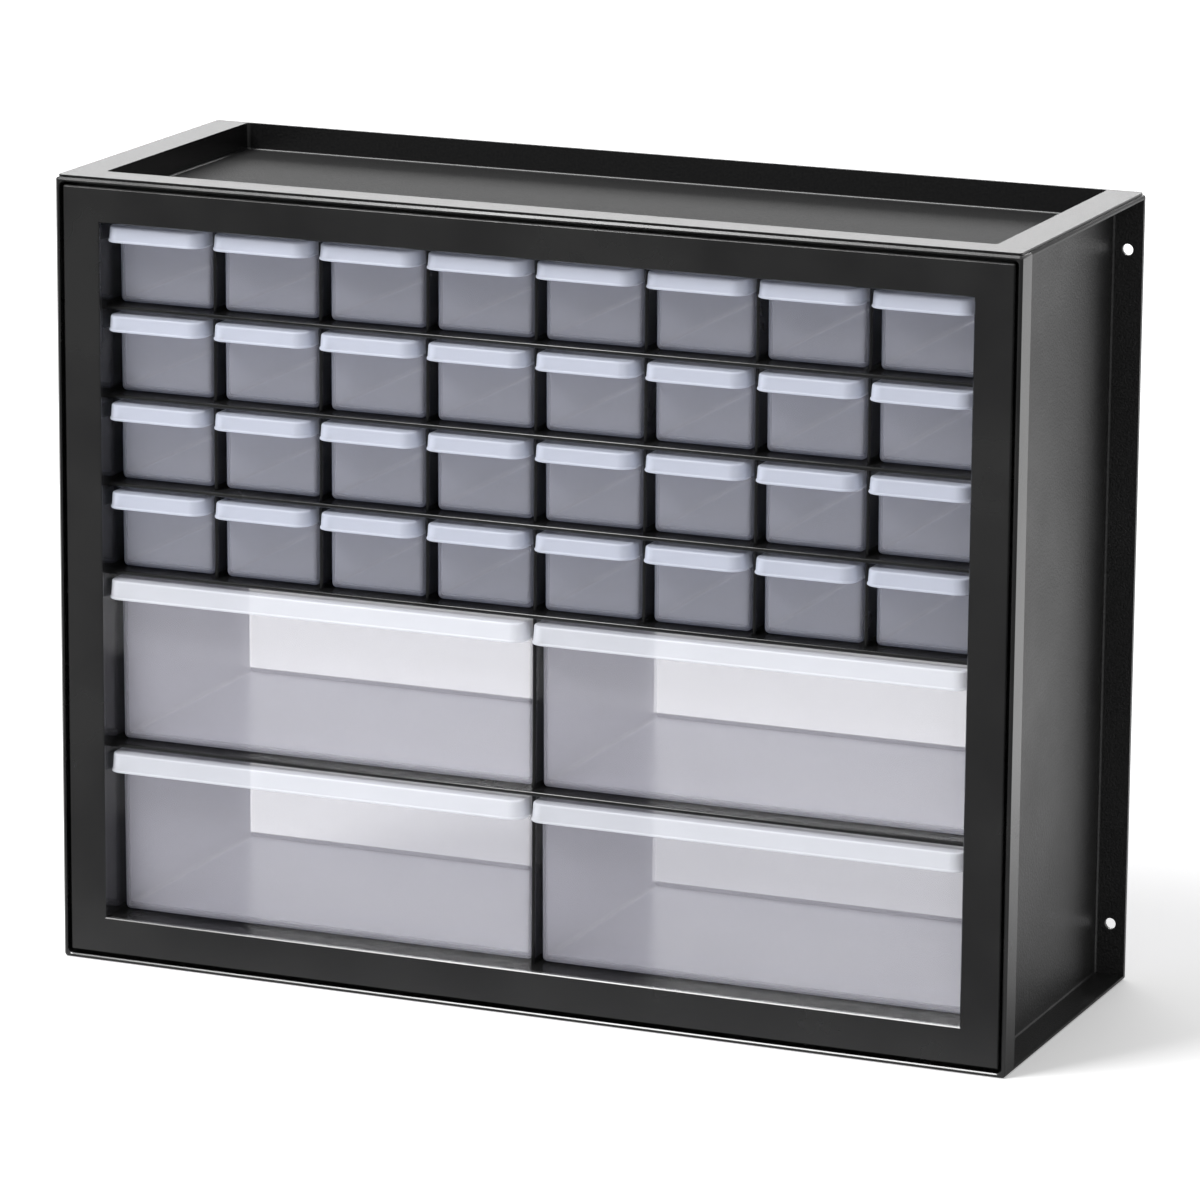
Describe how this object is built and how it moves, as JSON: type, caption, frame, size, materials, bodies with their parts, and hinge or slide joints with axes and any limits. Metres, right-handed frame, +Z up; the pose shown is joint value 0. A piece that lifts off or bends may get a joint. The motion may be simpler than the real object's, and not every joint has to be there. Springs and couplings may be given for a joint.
{
  "type": "drawer storage cabinet",
  "caption": "Upright plastic cabinet with rows of small and large slide-out drawers with hooded pulls, a recessed top tray and rear wall-screw holes, for sorting craft supplies and parts.",
  "frame": {"origin": "middle of the footprint, on the surface the cabinet stands on", "axes": "+X to the right seen from the front, +Y from the drawers to the back, +Z up"},
  "size_m": [0.4952, 0.1778, 0.3937],
  "materials": {
    "cabinet_plastic": "satin black polystyrene with a fine grain",
    "drawer_plastic": "milky translucent polypropylene"
  },
  "bodies": {
    "cabinet": {"front_frame": "cabinet_plastic", "front_bezel": "cabinet_plastic", "left_side_panel": "cabinet_plastic", "right_side_panel": "cabinet_plastic", "top_panel": "cabinet_plastic", "base_panel": "cabinet_plastic", "case_left_wall": "cabinet_plastic", "case_right_wall": "cabinet_plastic", "case_ceiling": "cabinet_plastic", "case_floor": "cabinet_plastic", "shelf_1": "cabinet_plastic", "shelf_2": "cabinet_plastic", "shelf_3": "cabinet_plastic", "shelf_4": "cabinet_plastic", "shelf_5": "cabinet_plastic", "small_divider_1": "cabinet_plastic", "small_divider_2": "cabinet_plastic", "small_divider_3": "cabinet_plastic", "small_divider_4": "cabinet_plastic", "small_divider_5": "cabinet_plastic", "small_divider_6": "cabinet_plastic", "small_divider_7": "cabinet_plastic", "large_divider_1": "cabinet_plastic"},
    "large_drawer_r1_c1": {"large_drawer_r1_c1": "drawer_plastic"},
    "large_drawer_r1_c2": {"large_drawer_r1_c2": "drawer_plastic"},
    "large_drawer_r2_c1": {"large_drawer_r2_c1": "drawer_plastic"},
    "large_drawer_r2_c2": {"large_drawer_r2_c2": "drawer_plastic"},
    "small_drawer_r1_c1": {"small_drawer_r1_c1": "drawer_plastic"},
    "small_drawer_r1_c2": {"small_drawer_r1_c2": "drawer_plastic"},
    "small_drawer_r1_c3": {"small_drawer_r1_c3": "drawer_plastic"},
    "small_drawer_r1_c4": {"small_drawer_r1_c4": "drawer_plastic"},
    "small_drawer_r1_c5": {"small_drawer_r1_c5": "drawer_plastic"},
    "small_drawer_r1_c6": {"small_drawer_r1_c6": "drawer_plastic"},
    "small_drawer_r1_c7": {"small_drawer_r1_c7": "drawer_plastic"},
    "small_drawer_r1_c8": {"small_drawer_r1_c8": "drawer_plastic"},
    "small_drawer_r2_c1": {"small_drawer_r2_c1": "drawer_plastic"},
    "small_drawer_r2_c2": {"small_drawer_r2_c2": "drawer_plastic"},
    "small_drawer_r2_c3": {"small_drawer_r2_c3": "drawer_plastic"},
    "small_drawer_r2_c4": {"small_drawer_r2_c4": "drawer_plastic"},
    "small_drawer_r2_c5": {"small_drawer_r2_c5": "drawer_plastic"},
    "small_drawer_r2_c6": {"small_drawer_r2_c6": "drawer_plastic"},
    "small_drawer_r2_c7": {"small_drawer_r2_c7": "drawer_plastic"},
    "small_drawer_r2_c8": {"small_drawer_r2_c8": "drawer_plastic"},
    "small_drawer_r3_c1": {"small_drawer_r3_c1": "drawer_plastic"},
    "small_drawer_r3_c2": {"small_drawer_r3_c2": "drawer_plastic"},
    "small_drawer_r3_c3": {"small_drawer_r3_c3": "drawer_plastic"},
    "small_drawer_r3_c4": {"small_drawer_r3_c4": "drawer_plastic"},
    "small_drawer_r3_c5": {"small_drawer_r3_c5": "drawer_plastic"},
    "small_drawer_r3_c6": {"small_drawer_r3_c6": "drawer_plastic"},
    "small_drawer_r3_c7": {"small_drawer_r3_c7": "drawer_plastic"},
    "small_drawer_r3_c8": {"small_drawer_r3_c8": "drawer_plastic"},
    "small_drawer_r4_c1": {"small_drawer_r4_c1": "drawer_plastic"},
    "small_drawer_r4_c2": {"small_drawer_r4_c2": "drawer_plastic"},
    "small_drawer_r4_c3": {"small_drawer_r4_c3": "drawer_plastic"},
    "small_drawer_r4_c4": {"small_drawer_r4_c4": "drawer_plastic"},
    "small_drawer_r4_c5": {"small_drawer_r4_c5": "drawer_plastic"},
    "small_drawer_r4_c6": {"small_drawer_r4_c6": "drawer_plastic"},
    "small_drawer_r4_c7": {"small_drawer_r4_c7": "drawer_plastic"},
    "small_drawer_r4_c8": {"small_drawer_r4_c8": "drawer_plastic"}
  },
  "joints": [
    {"name": "large_drawer_r1_c1_slide", "type": "slide", "parent": "cabinet", "child": "large_drawer_r1_c1", "axis": [0, -1, 0], "range_m": [0, 0.1303]},
    {"name": "large_drawer_r1_c2_slide", "type": "slide", "parent": "cabinet", "child": "large_drawer_r1_c2", "axis": [0, -1, 0], "range_m": [0, 0.1303]},
    {"name": "large_drawer_r2_c1_slide", "type": "slide", "parent": "cabinet", "child": "large_drawer_r2_c1", "axis": [0, -1, 0], "range_m": [0, 0.1303]},
    {"name": "large_drawer_r2_c2_slide", "type": "slide", "parent": "cabinet", "child": "large_drawer_r2_c2", "axis": [0, -1, 0], "range_m": [0, 0.1303]},
    {"name": "small_drawer_r1_c1_slide", "type": "slide", "parent": "cabinet", "child": "small_drawer_r1_c1", "axis": [0, -1, 0], "range_m": [0, 0.1307]},
    {"name": "small_drawer_r1_c2_slide", "type": "slide", "parent": "cabinet", "child": "small_drawer_r1_c2", "axis": [0, -1, 0], "range_m": [0, 0.1307]},
    {"name": "small_drawer_r1_c3_slide", "type": "slide", "parent": "cabinet", "child": "small_drawer_r1_c3", "axis": [0, -1, 0], "range_m": [0, 0.1307]},
    {"name": "small_drawer_r1_c4_slide", "type": "slide", "parent": "cabinet", "child": "small_drawer_r1_c4", "axis": [0, -1, 0], "range_m": [0, 0.1307]},
    {"name": "small_drawer_r1_c5_slide", "type": "slide", "parent": "cabinet", "child": "small_drawer_r1_c5", "axis": [0, -1, 0], "range_m": [0, 0.1307]},
    {"name": "small_drawer_r1_c6_slide", "type": "slide", "parent": "cabinet", "child": "small_drawer_r1_c6", "axis": [0, -1, 0], "range_m": [0, 0.1307]},
    {"name": "small_drawer_r1_c7_slide", "type": "slide", "parent": "cabinet", "child": "small_drawer_r1_c7", "axis": [0, -1, 0], "range_m": [0, 0.1307]},
    {"name": "small_drawer_r1_c8_slide", "type": "slide", "parent": "cabinet", "child": "small_drawer_r1_c8", "axis": [0, -1, 0], "range_m": [0, 0.1307]},
    {"name": "small_drawer_r2_c1_slide", "type": "slide", "parent": "cabinet", "child": "small_drawer_r2_c1", "axis": [0, -1, 0], "range_m": [0, 0.1307]},
    {"name": "small_drawer_r2_c2_slide", "type": "slide", "parent": "cabinet", "child": "small_drawer_r2_c2", "axis": [0, -1, 0], "range_m": [0, 0.1307]},
    {"name": "small_drawer_r2_c3_slide", "type": "slide", "parent": "cabinet", "child": "small_drawer_r2_c3", "axis": [0, -1, 0], "range_m": [0, 0.1307]},
    {"name": "small_drawer_r2_c4_slide", "type": "slide", "parent": "cabinet", "child": "small_drawer_r2_c4", "axis": [0, -1, 0], "range_m": [0, 0.1307]},
    {"name": "small_drawer_r2_c5_slide", "type": "slide", "parent": "cabinet", "child": "small_drawer_r2_c5", "axis": [0, -1, 0], "range_m": [0, 0.1307]},
    {"name": "small_drawer_r2_c6_slide", "type": "slide", "parent": "cabinet", "child": "small_drawer_r2_c6", "axis": [0, -1, 0], "range_m": [0, 0.1307]},
    {"name": "small_drawer_r2_c7_slide", "type": "slide", "parent": "cabinet", "child": "small_drawer_r2_c7", "axis": [0, -1, 0], "range_m": [0, 0.1307]},
    {"name": "small_drawer_r2_c8_slide", "type": "slide", "parent": "cabinet", "child": "small_drawer_r2_c8", "axis": [0, -1, 0], "range_m": [0, 0.1307]},
    {"name": "small_drawer_r3_c1_slide", "type": "slide", "parent": "cabinet", "child": "small_drawer_r3_c1", "axis": [0, -1, 0], "range_m": [0, 0.1307]},
    {"name": "small_drawer_r3_c2_slide", "type": "slide", "parent": "cabinet", "child": "small_drawer_r3_c2", "axis": [0, -1, 0], "range_m": [0, 0.1307]},
    {"name": "small_drawer_r3_c3_slide", "type": "slide", "parent": "cabinet", "child": "small_drawer_r3_c3", "axis": [0, -1, 0], "range_m": [0, 0.1307]},
    {"name": "small_drawer_r3_c4_slide", "type": "slide", "parent": "cabinet", "child": "small_drawer_r3_c4", "axis": [0, -1, 0], "range_m": [0, 0.1307]},
    {"name": "small_drawer_r3_c5_slide", "type": "slide", "parent": "cabinet", "child": "small_drawer_r3_c5", "axis": [0, -1, 0], "range_m": [0, 0.1307]},
    {"name": "small_drawer_r3_c6_slide", "type": "slide", "parent": "cabinet", "child": "small_drawer_r3_c6", "axis": [0, -1, 0], "range_m": [0, 0.1307]},
    {"name": "small_drawer_r3_c7_slide", "type": "slide", "parent": "cabinet", "child": "small_drawer_r3_c7", "axis": [0, -1, 0], "range_m": [0, 0.1307]},
    {"name": "small_drawer_r3_c8_slide", "type": "slide", "parent": "cabinet", "child": "small_drawer_r3_c8", "axis": [0, -1, 0], "range_m": [0, 0.1307]},
    {"name": "small_drawer_r4_c1_slide", "type": "slide", "parent": "cabinet", "child": "small_drawer_r4_c1", "axis": [0, -1, 0], "range_m": [0, 0.1307]},
    {"name": "small_drawer_r4_c2_slide", "type": "slide", "parent": "cabinet", "child": "small_drawer_r4_c2", "axis": [0, -1, 0], "range_m": [0, 0.1307]},
    {"name": "small_drawer_r4_c3_slide", "type": "slide", "parent": "cabinet", "child": "small_drawer_r4_c3", "axis": [0, -1, 0], "range_m": [0, 0.1307]},
    {"name": "small_drawer_r4_c4_slide", "type": "slide", "parent": "cabinet", "child": "small_drawer_r4_c4", "axis": [0, -1, 0], "range_m": [0, 0.1307]},
    {"name": "small_drawer_r4_c5_slide", "type": "slide", "parent": "cabinet", "child": "small_drawer_r4_c5", "axis": [0, -1, 0], "range_m": [0, 0.1307]},
    {"name": "small_drawer_r4_c6_slide", "type": "slide", "parent": "cabinet", "child": "small_drawer_r4_c6", "axis": [0, -1, 0], "range_m": [0, 0.1307]},
    {"name": "small_drawer_r4_c7_slide", "type": "slide", "parent": "cabinet", "child": "small_drawer_r4_c7", "axis": [0, -1, 0], "range_m": [0, 0.1307]},
    {"name": "small_drawer_r4_c8_slide", "type": "slide", "parent": "cabinet", "child": "small_drawer_r4_c8", "axis": [0, -1, 0], "range_m": [0, 0.1307]}
  ]
}
